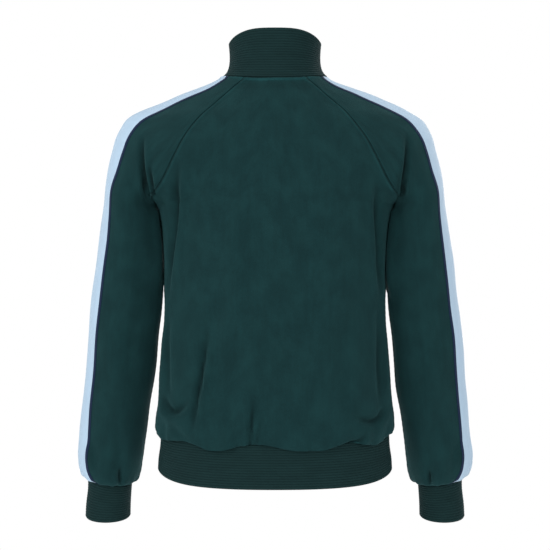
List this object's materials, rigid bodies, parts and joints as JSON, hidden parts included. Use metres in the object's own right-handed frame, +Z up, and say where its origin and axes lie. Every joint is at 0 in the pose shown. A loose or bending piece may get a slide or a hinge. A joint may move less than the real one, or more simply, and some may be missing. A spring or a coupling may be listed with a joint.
{
  "type": "funnel-neck raglan track top",
  "caption": "Hollow long-sleeved track top in the shape it has when worn, with a ribbed funnel collar, raglan sleeves, ribbed hem and cuffs, and a tape down the sleeves.",
  "frame": {"origin": "middle of the neck opening, level with the collar's seam, where the wearer's neck and shoulders hold the garment", "axes": "+Z up, the garment's front towards -Y, the wearer's left towards +X"},
  "size_m": [0.664, 0.2555, 0.8103],
  "materials": {
    "jersey": "dark green brushed jersey, matt",
    "rib": "dark green rib knit, matt",
    "tape": "pale blue woven tape with dark blue edges"
  },
  "bodies": {
    "root": {"back": "jersey", "front": "jersey", "sleeve_left": "jersey", "sleeve_right": "jersey", "collar": "rib", "hem_band": "rib", "cuff_left": "rib", "cuff_right": "rib", "sleeve_tape_left": "tape", "sleeve_tape_right": "tape"}
  },
  "joints": []
}
